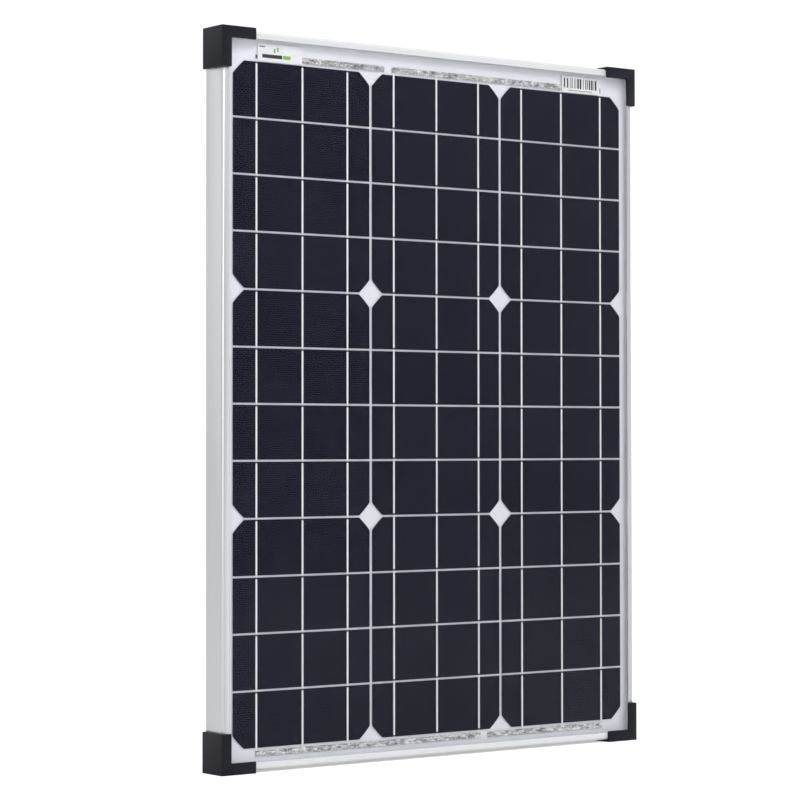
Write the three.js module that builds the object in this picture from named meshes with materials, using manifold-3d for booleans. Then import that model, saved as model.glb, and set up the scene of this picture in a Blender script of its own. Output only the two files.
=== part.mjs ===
// A framed solar panel of about 50 W: 36 cell strips in three strings, sealed between glass and
// backsheet, in a mitred aluminium frame with plastic corner protectors and a junction box behind.
//
// Millimetres. X runs across the panel, Y from the sunny face to the back, Z up.
// The origin is at the middle of the footprint: the panel stands on its two lower protectors.

import * as THREE from "three";
import { mergeVertices } from "three/addons/utils/BufferGeometryUtils.js";
import Module from "manifold-3d";

// ---------------------------------------------------------------- driving dimensions

const FRAME_WIDTH = 501.5;
const FRAME_HEIGHT = 682;
const FRAME_DEPTH = 28;

const PROTECTOR_WALL = 2.5;
const PROTECTOR_LEG = 38;
const PROTECTOR_LIP = 11;
const PROTECTOR_CLEARANCE = 0.1;

const RAIL = {
  wall: 1.4,
  lipWidth: 7,
  lipThickness: 1.5,
  edgeRadius: 3,
  grooveEnd: 7.8,
  shelf: 1.2,
  chamberWidth: 6.1,
  chamberDepth: 6.6,
  flangeWidth: 18,
  flangeThickness: 1.4,
  mitreGap: 0.1,
};
const SLOT = { width: 7, length: 12, fromFace: 10.5, fromCorner: 140 };
const GROUND_HOLE = { radius: 2.1, fromCorner: 300 };
const DRAIN_HOLE = { radius: 2.5, fromCorner: 62 };
const KEY_LEG = 34;
const KEY_CLEARANCE = 0.2;

const LAMINATE_INSET = 2.2;
const LAYER_GAP = 0.05;
const GLASS_FRONT = -12.1;
const GLASS_THICKNESS = 3.2;
const FRONT_ENCAPSULANT = 0.45;
const REAR_ENCAPSULANT = 1.4;
const BACKSHEET_THICKNESS = 0.3;

const COLUMNS = 3;
const ROWS = 12;
const GROUP_ROWS = 4;
const CELL_WIDTH = 156;
const COLUMN_GAP = 3;
const OUTER_STRIP = 51.6;
const INNER_STRIP = 50.7;
const ROW_GAP = 1.9;
const WAFER_RADIUS = 102;
const WAFER_THICKNESS = 0.2;
const ARC_STEPS = 4;
const MATRIX_RIGHT = 1.2;
const MATRIX_DOWN = 3.8;

const TAB_SPACING = 52;
const TAB_WIDTH = 2;
const TAB_THICKNESS = 0.2;
const TAB_BITE = 0.03;

const BUS_WIDTH = 5.4;
const BUS_THICKNESS = 0.3;
const BUS_FROM_CELL = 2.6;
const POCKET_MARGIN = 0.8;
const LEAD_WIDTH = 4;
const LEAD_THICKNESS = 0.2;

const LABEL = { width: 50, height: 17, thickness: 0.15, aboveCell: 0.6 };

const BOX = {
  x: -56,
  bottom: 560,
  width: 100,
  height: 76,
  wall: 2,
  floorY: -5.9,
  rimY: 7.3,
  cornerRadius: 5,
};
const LID_THICKNESS = 1.8;
const LID_GAP = 0.3;
const HINGE = { y: 7.1, above: 3, radius: 2.6, pinRadius: 1.2, bore: 1.5, lidLength: 40, earLength: 9 };
const GLAND = { spacing: 56, y: 1.3, bore: 3.5, stub: 4.8, hex: 13, sealBore: 3.3 };
const SKIRT = { inset: 2.6, wall: 1.2, depth: 1.6 };

// ---------------------------------------------------------------- derived places

const BASE_Z = PROTECTOR_WALL;
const TOP_Z = BASE_Z + FRAME_HEIGHT;
const HALF_WIDTH = FRAME_WIDTH / 2;
const FRONT_Y = -FRAME_DEPTH / 2;
const BACK_Y = FRAME_DEPTH / 2;
const RAIL_SHELF_END = RAIL.grooveEnd + RAIL.shelf;
const CHAMBER_END = RAIL_SHELF_END + RAIL.chamberDepth;

const GLASS_BACK = GLASS_FRONT + GLASS_THICKNESS;
const FRONT_EVA = { y0: GLASS_BACK + LAYER_GAP, y1: GLASS_BACK + LAYER_GAP + FRONT_ENCAPSULANT };
const REAR_EVA = { y0: FRONT_EVA.y1 + LAYER_GAP, y1: FRONT_EVA.y1 + LAYER_GAP + REAR_ENCAPSULANT };
const BACKSHEET = { y0: REAR_EVA.y1 + LAYER_GAP, y1: REAR_EVA.y1 + LAYER_GAP + BACKSHEET_THICKNESS };

const TAB_FRONT_Y = REAR_EVA.y0 + LAYER_GAP;
const WAFER_FRONT_Y = TAB_FRONT_Y + TAB_THICKNESS;
const WAFER_BACK_Y = WAFER_FRONT_Y + WAFER_THICKNESS;
const TAB_BACK_Y = WAFER_BACK_Y + TAB_THICKNESS;
const LEAD_BACK_Y = REAR_EVA.y1 - LAYER_GAP;
const LEAD_FRONT_Y = LEAD_BACK_Y - LEAD_THICKNESS;

const MATRIX_X = MATRIX_RIGHT;
const MATRIX_Z = BASE_Z + FRAME_HEIGHT / 2 - MATRIX_DOWN;
const MATRIX_HEIGHT = 6 * OUTER_STRIP + 6 * INNER_STRIP + (ROWS - 1) * ROW_GAP;
const CELLS_TOP = MATRIX_Z + MATRIX_HEIGHT / 2;
const CELLS_BOTTOM = MATRIX_Z - MATRIX_HEIGHT / 2;

const columnX = (column) => MATRIX_X + (column - 1) * (CELL_WIDTH + COLUMN_GAP);

const BOX_TOP = BOX.bottom + BOX.height;
const LID_Y = BOX.rimY + 0.8;
const HINGE_Z = BOX_TOP + HINGE.above;

// ---------------------------------------------------------------- solids

const wasm = await Module();
wasm.setup();

/** A closed geometry as a manifold solid. */
function solid(geometry) {
  const bare = geometry.index ? geometry.toNonIndexed() : geometry.clone();
  for (const name of Object.keys(bare.attributes)) {
    if (name !== "position") bare.deleteAttribute(name);
  }
  const merged = mergeVertices(bare, 1e-4);
  return new wasm.Manifold(
    new wasm.Mesh({
      numProp: 3,
      vertProperties: new Float32Array(merged.attributes.position.array),
      triVerts: new Uint32Array(merged.index.array),
    }),
  );
}

/** A manifold solid as a geometry. */
function geometryOf(shape) {
  const mesh = shape.getMesh();
  const geometry = new THREE.BufferGeometry();
  geometry.setAttribute("position", new THREE.BufferAttribute(mesh.vertProperties, 3));
  geometry.setIndex(new THREE.BufferAttribute(mesh.triVerts, 1));
  geometry.computeVertexNormals();
  return geometry;
}

const union = (shapes) => shapes.reduce((sum, shape) => sum.add(shape));
const cut = (shape, tools) => tools.reduce((rest, tool) => rest.subtract(tool), shape);

/** An axis-aligned block between two corners. */
function block(x0, x1, y0, y1, z0, z1) {
  const geometry = new THREE.BoxGeometry(Math.abs(x1 - x0), Math.abs(y1 - y0), Math.abs(z1 - z0));
  geometry.translate((x0 + x1) / 2, (y0 + y1) / 2, (z0 + z1) / 2);
  return solid(geometry);
}

/** An outline in the XZ plane, given as [x, z] points, made into a plate from y0 to y1. */
function plate(points, y0, y1) {
  const shape =
    points instanceof THREE.Shape ? points : new THREE.Shape(points.map(([x, z]) => new THREE.Vector2(x, z)));
  const thickness = { depth: y1 - y0, bevelEnabled: false, curveSegments: 5 };
  const geometry = new THREE.ExtrudeGeometry(shape, thickness);
  geometry.rotateX(Math.PI / 2);
  geometry.translate(0, y1, 0);
  return solid(geometry);
}

/** An outline in the YZ plane, given as [y, z] points, drawn out from x0 to x1. */
function ribbonAcross(points, x0, x1) {
  const shape = new THREE.Shape(points.map(([y, z]) => new THREE.Vector2(y, z)));
  const geometry = new THREE.ExtrudeGeometry(shape, { depth: x1 - x0, bevelEnabled: false });
  const toYZ = new THREE.Matrix4().makeBasis(
    new THREE.Vector3(0, 1, 0),
    new THREE.Vector3(0, 0, 1),
    new THREE.Vector3(1, 0, 0),
  );
  geometry.applyMatrix4(toYZ);
  geometry.translate(x0, 0, 0);
  return solid(geometry);
}

/** A rod between two places on a line along X, Y or Z. */
function rod(axis, radius, from, length, centre, sides = 20) {
  const geometry = new THREE.CylinderGeometry(radius, radius, length, sides);
  geometry.rotateY(Math.PI / sides);
  const middle = from + length / 2;
  if (axis === "x") geometry.rotateZ(Math.PI / 2).translate(middle, centre[0], centre[1]);
  if (axis === "y") geometry.translate(centre[0], middle, centre[1]);
  if (axis === "z") geometry.rotateX(Math.PI / 2).translate(centre[0], centre[1], middle);
  return solid(geometry);
}

/** A rectangle with round corners, as a shape in the XZ plane. */
function roundedRectangle(x0, x1, z0, z1, radius) {
  const shape = new THREE.Shape();
  shape.moveTo(x0 + radius, z0);
  shape.lineTo(x1 - radius, z0);
  shape.absarc(x1 - radius, z0 + radius, radius, -Math.PI / 2, 0);
  shape.lineTo(x1, z1 - radius);
  shape.absarc(x1 - radius, z1 - radius, radius, 0, Math.PI / 2);
  shape.lineTo(x0 + radius, z1);
  shape.absarc(x0 + radius, z1 - radius, radius, Math.PI / 2, Math.PI);
  shape.lineTo(x0, z0 + radius);
  shape.absarc(x0 + radius, z0 + radius, radius, Math.PI, 1.5 * Math.PI);
  return shape;
}

// ---------------------------------------------------------------- materials

const finish = (color, roughness, metalness) =>
  new THREE.MeshStandardMaterial({ color, roughness, metalness });

const MATERIALS = {
  aluminium: () => finish(0xd8d9dc, 0.35, 0.9),
  blackPlastic: () => finish(0x24252a, 0.45, 0),
  glass: () => Object.assign(finish(0xe8eef0, 0.08, 0), { transparent: true, opacity: 0.25 }),
  encapsulant: () => Object.assign(finish(0xf2f4f4, 0.2, 0), { transparent: true, opacity: 0.3 }),
  cell: () => finish(0x171b2b, 0.3, 0.1),
  ribbon: () => finish(0xd9dade, 0.35, 0.9),
  backsheet: () => finish(0xdcdee8, 0.6, 0),
  sealant: () => finish(0xf0f0ee, 0.5, 0),
  rubber: () => finish(0x1b1b1d, 0.8, 0),
  label: () => finish(0xf4f4f2, 0.5, 0),
  steel: () => finish(0xb9bbbf, 0.3, 1),
  brass: () => finish(0xb59a56, 0.35, 1),
};

const panel = new THREE.Group();

function addPiece(name, shape, material) {
  const mesh = new THREE.Mesh(geometryOf(shape), MATERIALS[material]());
  mesh.name = name;
  panel.add(mesh);
}

// ---------------------------------------------------------------- frame

/** The four sides of the frame: where each rail's outer face starts and which way is inwards. */
const SIDES = {
  left: { inward: [1, 0, 0], start: [-HALF_WIDTH, FRONT_Y, BASE_Z], length: FRAME_HEIGHT, slotted: true },
  right: { inward: [-1, 0, 0], start: [HALF_WIDTH, FRONT_Y, TOP_Z], length: FRAME_HEIGHT, slotted: true },
  top: { inward: [0, 0, -1], start: [-HALF_WIDTH, FRONT_Y, TOP_Z], length: FRAME_WIDTH, slotted: false },
  bottom: { inward: [0, 0, 1], start: [HALF_WIDTH, FRONT_Y, BASE_Z], length: FRAME_WIDTH, slotted: false },
};

/** The extruded section: x is the distance in from the outer face, y the depth from the front. */
function railSection() {
  const r = RAIL.edgeRadius;
  const innerWall = RAIL.wall + RAIL.chamberWidth;
  const section = new THREE.Shape();
  section.moveTo(r, 0);
  section.lineTo(RAIL.lipWidth, 0);
  section.lineTo(RAIL.lipWidth, RAIL.lipThickness);
  section.lineTo(RAIL.wall, RAIL.lipThickness);
  section.lineTo(RAIL.wall, RAIL.grooveEnd);
  section.lineTo(innerWall + RAIL.shelf, RAIL.grooveEnd);
  section.lineTo(innerWall + RAIL.shelf, CHAMBER_END + RAIL.shelf);
  section.lineTo(RAIL.wall, CHAMBER_END + RAIL.shelf);
  section.lineTo(RAIL.wall, FRAME_DEPTH - RAIL.flangeThickness);
  section.lineTo(RAIL.flangeWidth, FRAME_DEPTH - RAIL.flangeThickness);
  section.lineTo(RAIL.flangeWidth, FRAME_DEPTH);
  section.lineTo(0, FRAME_DEPTH);
  section.lineTo(0, r);
  section.absarc(r, r, r, Math.PI, 1.5 * Math.PI);

  const chamber = new THREE.Path();
  chamber.moveTo(RAIL.wall, RAIL_SHELF_END);
  chamber.lineTo(RAIL.wall, CHAMBER_END);
  chamber.lineTo(innerWall, CHAMBER_END);
  chamber.lineTo(innerWall, RAIL_SHELF_END);
  chamber.closePath();
  section.holes.push(chamber);
  return section;
}

/** A slot in the rear flange, centred at distance w along the rail, drawn in (w, inward). */
function slotOutline(w) {
  const half = SLOT.length / 2 - SLOT.width / 2;
  const radius = SLOT.width / 2;
  const shape = new THREE.Shape();
  shape.absarc(w + half, SLOT.fromFace, radius, -Math.PI / 2, Math.PI / 2);
  shape.absarc(w - half, SLOT.fromFace, radius, Math.PI / 2, 1.5 * Math.PI);
  shape.closePath();
  return shape;
}

function holeOutline(w, radius) {
  const shape = new THREE.Shape();
  shape.absarc(w, SLOT.fromFace, radius, 0, 2 * Math.PI);
  return shape;
}

/** One rail in its own frame (x inwards, y deep, z along), then turned to its side of the panel. */
function rail({ inward, start, length, slotted }) {
  const bar = { depth: length, bevelEnabled: false, curveSegments: 4 };
  const body = solid(new THREE.ExtrudeGeometry(railSection(), bar));

  // Outlines drawn in (along, inward) are set up with their thickness running in depth.
  const flat = new THREE.Matrix4().makeBasis(
    new THREE.Vector3(0, 0, 1),
    new THREE.Vector3(1, 0, 0),
    new THREE.Vector3(0, 1, 0),
  );
  const through = (shape, from, depth) => {
    const geometry = new THREE.ExtrudeGeometry(shape, { depth, bevelEnabled: false, curveSegments: 8 });
    geometry.translate(0, 0, from);
    return solid(geometry.applyMatrix4(flat));
  };

  const gap = RAIL.mitreGap;
  const reach = RAIL.flangeWidth + 1;
  const mitre = new THREE.Shape([
    new THREE.Vector2(gap - 1, -1),
    new THREE.Vector2(length - gap + 1, -1),
    new THREE.Vector2(length - gap - reach, reach),
    new THREE.Vector2(gap + reach, reach),
  ]);
  const drainPlaces = [DRAIN_HOLE.fromCorner, length - DRAIN_HOLE.fromCorner];
  const openings = drainPlaces.map((w) => holeOutline(w, DRAIN_HOLE.radius));
  if (slotted) {
    openings.push(slotOutline(SLOT.fromCorner), slotOutline(length - SLOT.fromCorner));
    openings.push(holeOutline(GROUND_HOLE.fromCorner, GROUND_HOLE.radius));
  }
  const flangeFront = FRAME_DEPTH - RAIL.flangeThickness;
  const cutters = openings.map((shape) => through(shape, flangeFront - 1, RAIL.flangeThickness + 2));
  const local = cut(body.intersect(through(mitre, -1, FRAME_DEPTH + 2)), cutters);

  const x = new THREE.Vector3(...inward);
  const y = new THREE.Vector3(0, 1, 0);
  const turn = new THREE.Matrix4().makeBasis(x, y, x.clone().cross(y)).setPosition(...start);
  return solid(geometryOf(local).applyMatrix4(turn));
}

for (const [side, place] of Object.entries(SIDES)) {
  addPiece(`frame_rail_${side}`, rail(place), "aluminium");
}

const CORNERS = {
  top_left: [-1, 1],
  top_right: [1, 1],
  bottom_left: [-1, -1],
  bottom_right: [1, -1],
};

/** Places along X and Z, measured inwards from a corner of the frame. */
function fromCorner([sideX, sideZ]) {
  return {
    x: (distance) => sideX * (HALF_WIDTH - distance),
    z: (distance) => (sideZ > 0 ? TOP_Z - distance : BASE_Z + distance),
  };
}

/** An L-shaped key that fills the chambers of the two rails at a corner. */
function cornerKey(corner) {
  const { x, z } = fromCorner(corner);
  const outer = RAIL.wall + KEY_CLEARANCE;
  const inner = RAIL.wall + RAIL.chamberWidth - KEY_CLEARANCE;
  const y0 = FRONT_Y + RAIL_SHELF_END + KEY_CLEARANCE;
  const y1 = FRONT_Y + CHAMBER_END - KEY_CLEARANCE;
  return union([
    block(x(outer), x(KEY_LEG), y0, y1, z(outer), z(inner)),
    block(x(outer), x(inner), y0, y1, z(outer), z(KEY_LEG)),
  ]);
}

/** A moulded cap over a corner: two side walls, with an L-shaped lip on the front and the back. */
function cornerProtector(corner) {
  const { x, z } = fromCorner(corner);
  const out = -PROTECTOR_WALL;
  const leg = PROTECTOR_LEG - PROTECTOR_WALL;
  const lip = PROTECTOR_LIP - PROTECTOR_WALL;
  const room = PROTECTOR_CLEARANCE;
  const y0 = FRONT_Y - PROTECTOR_WALL;
  const y1 = BACK_Y + PROTECTOR_WALL;
  const flangeRoom = RAIL.flangeWidth + 2;
  const shell = block(x(out), x(leg), y0, y1, z(out), z(leg));
  const frameSpace = block(x(-room), x(leg + 1), FRONT_Y - room, BACK_Y + room, z(-room), z(leg + 1));
  const frontWindow = block(x(lip), x(leg + 1), y0 - 1, FRONT_Y, z(lip), z(leg + 1));
  const backWindow = block(x(flangeRoom), x(leg + 1), BACK_Y, y1 + 1, z(flangeRoom), z(leg + 1));
  return cut(shell, [frameSpace, frontWindow, backWindow]);
}

for (const [name, corner] of Object.entries(CORNERS)) {
  addPiece(`corner_key_${name}`, cornerKey(corner), "aluminium");
  addPiece(`corner_protector_${name}`, cornerProtector(corner), "blackPlastic");
}

/** A block spanning the frame opening, inset by the same distance on all four sides. */
function insetBlock(inset, y0, y1) {
  return block(-HALF_WIDTH + inset, HALF_WIDTH - inset, y0, y1, BASE_Z + inset, TOP_Z - inset);
}

const sealantOuter = RAIL.wall + LAYER_GAP;
const sealantY0 = FRONT_Y + RAIL.lipThickness + LAYER_GAP;
const sealantY1 = FRONT_Y + RAIL.grooveEnd - LAYER_GAP;
addPiece(
  "edge_sealant",
  cut(insetBlock(sealantOuter, sealantY0, sealantY1), [
    insetBlock(RAIL.lipWidth - 1, sealantY0 - 1, sealantY1 + 1),
    insetBlock(LAMINATE_INSET - LAYER_GAP, GLASS_FRONT - LAYER_GAP, BACKSHEET.y1 + LAYER_GAP),
  ]),
  "sealant",
);

// ---------------------------------------------------------------- cell strings

/** Each row from the top down: its top edge, its height and which of its corners are cut. */
function stripRows() {
  const rows = [];
  let top = CELLS_TOP;
  for (let row = 0; row < ROWS; row += 1) {
    const place = row % GROUP_ROWS;
    const outer = place === 0 || place === GROUP_ROWS - 1;
    const height = outer ? OUTER_STRIP : INNER_STRIP;
    rows.push({ top, height, cutTop: place === 0, cutBottom: place === GROUP_ROWS - 1 });
    top -= height + ROW_GAP;
  }
  return rows;
}

/** The outline of a strip cut from a round-cornered wafer, as [x, z] points about x. */
function waferOutline(x, { top, height, cutTop, cutBottom }) {
  const half = CELL_WIDTH / 2;
  const bottom = top - height;
  if (!cutTop && !cutBottom) {
    return [[x - half, bottom], [x + half, bottom], [x + half, top], [x - half, top]];
  }
  const start = Math.acos(half / WAFER_RADIUS);
  const end = Math.asin(half / WAFER_RADIUS);
  const arc = [];
  for (let i = 0; i <= ARC_STEPS; i += 1) {
    const angle = start + ((end - start) * i) / ARC_STEPS;
    arc.push([WAFER_RADIUS * Math.cos(angle), half - WAFER_RADIUS * Math.sin(angle)]);
  }
  const edge = cutTop ? top : bottom;
  const down = cutTop ? -1 : 1;
  const right = arc.map(([across, depth]) => [x + across, edge + down * depth]);
  const left = arc.map(([across, depth]) => [x - across, edge + down * depth]).reverse();
  const far = cutTop ? bottom : top;
  const outline = [[x + half, far], ...right, ...left, [x - half, far]];
  return cutTop ? outline : outline.reverse();
}

/**
 * One tab: soldered on the sunny face of a strip, it dips through the gap in direction `way`
 * (+1 up, -1 down) and is soldered on the back of the next strip.
 */
function tabSection(frontFar, frontEdge, backEdge, backFar, way) {
  const y0 = TAB_FRONT_Y;
  const y1 = WAFER_FRONT_Y + TAB_BITE;
  const y2 = WAFER_BACK_Y - TAB_BITE;
  const y3 = TAB_BACK_Y;
  const ease = 0.25 * way;
  const points = [
    [y0, frontFar],
    [y0, frontEdge + ease],
    [y2, backEdge],
    [y2, backFar],
    [y3, backFar],
    [y3, backEdge - ease],
    [y1, frontEdge],
    [y1, frontFar],
  ];
  return way > 0 ? points : points.reverse();
}

/** A string: twelve strips in series, joined by three lines of tabs. */
function cellString(column, way) {
  const x = columnX(column);
  const rows = stripRows();
  const pieces = rows.map((row) => plate(waferOutline(x, row), WAFER_FRONT_Y, WAFER_BACK_Y));
  const inset = 3;
  const reach = BUS_FROM_CELL + BUS_WIDTH - 0.4;
  const order = way > 0 ? [...rows].reverse() : rows;
  const near = (row) => (way > 0 ? row.top - row.height : row.top);
  const far = (row) => (way > 0 ? row.top : row.top - row.height);
  for (const offset of [-TAB_SPACING, 0, TAB_SPACING]) {
    const x0 = x + offset - TAB_WIDTH / 2;
    const x1 = x + offset + TAB_WIDTH / 2;
    order.forEach((row, i) => {
      const next = order[i + 1];
      const backFar = next ? far(next) - inset * way : far(row) + reach * way;
      const backEdge = next ? near(next) : far(row) + 1.2 * way;
      const section = tabSection(near(row) + inset * way, far(row), backEdge, backFar, way);
      pieces.push(ribbonAcross(section, x0, x1));
    });
    const first = near(order[0]);
    const low = Math.min(first - reach * way, first + inset * way);
    const high = Math.max(first - reach * way, first + inset * way);
    pieces.push(block(x0, x1, WAFER_BACK_Y - TAB_BITE, TAB_BACK_Y, low, high));
  }
  return union(pieces);
}

const STRINGS = [
  { name: "cell_string_left", column: 0, way: -1 },
  { name: "cell_string_middle", column: 1, way: 1 },
  { name: "cell_string_right", column: 2, way: -1 },
];
for (const { name, column, way } of STRINGS) {
  addPiece(name, cellString(column, way), "cell");
}

// ---------------------------------------------------------------- bus and lead ribbons

const busY0 = TAB_FRONT_Y;
const busY1 = TAB_FRONT_Y + BUS_THICKNESS;
const TOP_BUS_Z = CELLS_TOP + BUS_FROM_CELL;
const BOTTOM_BUS_Z = CELLS_BOTTOM - BUS_FROM_CELL - BUS_WIDTH;
const BUS_PAST_GAP = 15;
const LEFT_BUS_END = columnX(0) + CELL_WIDTH / 2 + COLUMN_GAP + BUS_PAST_GAP;
const RIGHT_BUS_END = columnX(2) - CELL_WIDTH / 2 - COLUMN_GAP - BUS_PAST_GAP;
const FIRST_TAB = columnX(0) - TAB_SPACING - 1;
const LAST_TAB = columnX(2) + TAB_SPACING + 1;

/** The two margins are the same layout turned by half a turn. */
const BUSES = {
  bus_ribbon_top_left: [FIRST_TAB, LEFT_BUS_END, TOP_BUS_Z],
  bus_ribbon_top_right: [columnX(1) - TAB_SPACING - 2, LAST_TAB, TOP_BUS_Z],
  bus_ribbon_bottom_left: [FIRST_TAB, columnX(1) + TAB_SPACING + 2, BOTTOM_BUS_Z],
  bus_ribbon_bottom_right: [RIGHT_BUS_END, LAST_TAB, BOTTOM_BUS_Z],
};
for (const [name, [x0, x1, z]] of Object.entries(BUSES)) {
  addPiece(name, block(x0, x1, busY0, busY1, z, z + BUS_WIDTH), "ribbon");
}

const TERMINAL_SPACING = 24;
const TERMINAL_Z = BOX.bottom + 46;
const TERMINAL_TOP_Y = -1.1;
const TERMINAL_THICKNESS = 0.8;
const terminalX = (index) => BOX.x + (index - 1) * TERMINAL_SPACING;
const LEAD_EXIT_Z = TERMINAL_Z - 12;
const LEAD_FOOT = 3;
const LEAD_TAB_TOP_Y = TERMINAL_TOP_Y + LAYER_GAP;

/** A strip of the lead, as a section in the YZ plane: out of the laminate and up onto a terminal. */
function leadExit(x) {
  const y0 = LEAD_FRONT_Y;
  const t = LEAD_THICKNESS;
  const y3 = LEAD_TAB_TOP_Y + t;
  const z = LEAD_EXIT_Z;
  const end = TERMINAL_Z - 3;
  const points = [
    [y0, z - LEAD_FOOT],
    [y0 + t, z - LEAD_FOOT],
    [y0 + t, z - t],
    [y3, z - t],
    [y3, end],
    [y3 - t, end],
    [y3 - t, z],
    [y0, z],
  ];
  return ribbonAcross(points, x - LEAD_WIDTH / 2, x + LEAD_WIDTH / 2);
}

/** A flat stretch of lead behind the cells. */
function leadRun(x0, x1, z0, z1) {
  return block(x0, x1, LEAD_FRONT_Y, LEAD_BACK_Y, z0, z1);
}

/** The step from behind a bus ribbon back to the layer behind the cells, and the run down or up. */
function leadFromBus(x, busZ) {
  const half = LEAD_WIDTH / 2;
  const behindBus = busY1 + LAYER_GAP;
  return block(x - half, x + half, behindBus, LEAD_BACK_Y, busZ + 1, busZ + 1 + LEAD_WIDTH);
}

const LEADS = {
  lead_ribbon_positive: { index: 0, busX: LEFT_BUS_END - 4, busZ: TOP_BUS_Z, turnZ: 648 },
  lead_ribbon_middle: { index: 1, busX: columnX(1) - TAB_SPACING + 5, busZ: TOP_BUS_Z, turnZ: 655 },
  lead_ribbon_negative: { index: 2, busX: RIGHT_BUS_END + 5, busZ: BOTTOM_BUS_Z, turnZ: 545 },
};

/** The flat blocks of a lead, which are also the shape of the groove it lies in. */
function leadBlocks({ index, busX, busZ, turnZ }, spare) {
  const half = LEAD_WIDTH / 2 + spare;
  const boxX = terminalX(index);
  const vertical = (x, za, zb) => [x - half, x + half, Math.min(za, zb) - spare, Math.max(za, zb) + spare];
  const exitEnd = turnZ > LEAD_EXIT_Z ? LEAD_EXIT_Z - LEAD_FOOT : LEAD_EXIT_Z;
  return [
    vertical(busX, busZ + 1, turnZ + LEAD_WIDTH / 2),
    [Math.min(busX, boxX) - half, Math.max(busX, boxX) + half, turnZ - half, turnZ + half],
    vertical(boxX, turnZ + LEAD_WIDTH / 2, exitEnd),
  ];
}

for (const [name, lead] of Object.entries(LEADS)) {
  const runs = leadBlocks(lead, 0).map(([x0, x1, z0, z1]) => leadRun(x0, x1, z0, z1));
  const step = leadFromBus(lead.busX, lead.busZ);
  addPiece(name, union([...runs, step, leadExit(terminalX(lead.index))]), "ribbon");
}

// ---------------------------------------------------------------- laminate

const labelZ0 = CELLS_TOP + LABEL.aboveCell;
const labelZ1 = labelZ0 + LABEL.height;
const LABELS = {
  front_label: columnX(0) - TAB_SPACING + 1 + LABEL.width / 2,
  bar_label: columnX(2) + LABEL.width / 2 + 1,
};
const labelY0 = FRONT_EVA.y0 + LAYER_GAP;
for (const [name, x] of Object.entries(LABELS)) {
  const half = LABEL.width / 2;
  addPiece(name, block(x - half, x + half, labelY0, labelY0 + LABEL.thickness, labelZ0, labelZ1), "label");
}

addPiece("front_glass", insetBlock(LAMINATE_INSET, GLASS_FRONT, GLASS_BACK), "glass");

const labelPockets = Object.values(LABELS).map((x) => {
  const half = LABEL.width / 2 + 0.1;
  const y1 = labelY0 + LABEL.thickness + LAYER_GAP;
  return block(x - half, x + half, FRONT_EVA.y0 - 1, y1, labelZ0 - 0.1, labelZ1 + 0.1);
});
addPiece(
  "front_encapsulant",
  cut(insetBlock(LAMINATE_INSET, FRONT_EVA.y0, FRONT_EVA.y1), labelPockets),
  "encapsulant",
);

/** The rear encapsulant has a pocket around each string and bus ribbon, and a groove for each lead. */
function rearEncapsulant() {
  const pocketFloor = TAB_BACK_Y + LAYER_GAP;
  const m = POCKET_MARGIN;
  const reach = BUS_FROM_CELL + BUS_WIDTH;
  const pocket = (x0, x1, z0, z1) => block(x0 - m, x1 + m, REAR_EVA.y0 - 1, pocketFloor, z0 - m, z1 + m);
  const strings = STRINGS.map(({ column }) => {
    const x = columnX(column);
    return pocket(x - CELL_WIDTH / 2, x + CELL_WIDTH / 2, CELLS_BOTTOM - reach, CELLS_TOP + reach);
  });
  const buses = Object.values(BUSES).map(([x0, x1, z]) => pocket(x0, x1, z, z + BUS_WIDTH));
  const through = REAR_EVA.y1 + 1;
  const spare = 0.3;
  const grooves = Object.values(LEADS)
    .flatMap((lead) => leadBlocks(lead, spare))
    .map(([x0, x1, z0, z1]) => block(x0, x1, LEAD_FRONT_Y - 0.1, through, z0, z1));
  const steps = Object.values(LEADS).map(({ busX, busZ }) => {
    const half = LEAD_WIDTH / 2 + spare;
    const z0 = busZ + 1 - spare;
    const z1 = busZ + 1 + LEAD_WIDTH + spare;
    return block(busX - half, busX + half, pocketFloor - 0.5, through, z0, z1);
  });
  const sheet = insetBlock(LAMINATE_INSET, REAR_EVA.y0, REAR_EVA.y1);
  return cut(sheet, [...strings, ...buses, ...grooves, ...steps]);
}
addPiece("rear_encapsulant", rearEncapsulant(), "encapsulant");

/** One slit per lead, large enough for the ribbon to pass. */
function leadSlits(y0, y1) {
  return [0, 1, 2].map((index) => {
    const x = terminalX(index);
    const half = LEAD_WIDTH / 2 + 0.5;
    return block(x - half, x + half, y0, y1, LEAD_EXIT_Z - 1.2, LEAD_EXIT_Z + 1);
  });
}
const backsheetBlank = insetBlock(LAMINATE_INSET, BACKSHEET.y0, BACKSHEET.y1);
addPiece("backsheet", cut(backsheetBlank, leadSlits(BACKSHEET.y0 - 1, BACKSHEET.y1 + 1)), "backsheet");

const RATING = { x0: 40, x1: 150, z0: 470, z1: 545 };
const ratingY0 = BACKSHEET.y1 + LAYER_GAP;
addPiece(
  "rating_label",
  block(RATING.x0, RATING.x1, ratingY0, ratingY0 + LABEL.thickness, RATING.z0, RATING.z1),
  "label",
);

// ---------------------------------------------------------------- junction box

const boxX0 = BOX.x - BOX.width / 2;
const boxX1 = BOX.x + BOX.width / 2;

const boxOutline = (inset) =>
  roundedRectangle(boxX0 + inset, boxX1 - inset, BOX.bottom + inset, BOX_TOP - inset, BOX.cornerRadius - inset);

const hingeCentre = [HINGE.y, HINGE_Z];
const earX = [
  BOX.x - HINGE.lidLength / 2 - LID_GAP - HINGE.earLength,
  BOX.x + HINGE.lidLength / 2 + LID_GAP,
];
const glandX = [BOX.x - GLAND.spacing / 2, BOX.x + GLAND.spacing / 2];

addPiece(
  "junction_box_pad",
  cut(
    plate(boxOutline(1), BACKSHEET.y1 + LAYER_GAP, BOX.floorY - LAYER_GAP),
    leadSlits(BACKSHEET.y1 - 1, BOX.floorY + 1),
  ),
  "sealant",
);

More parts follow.
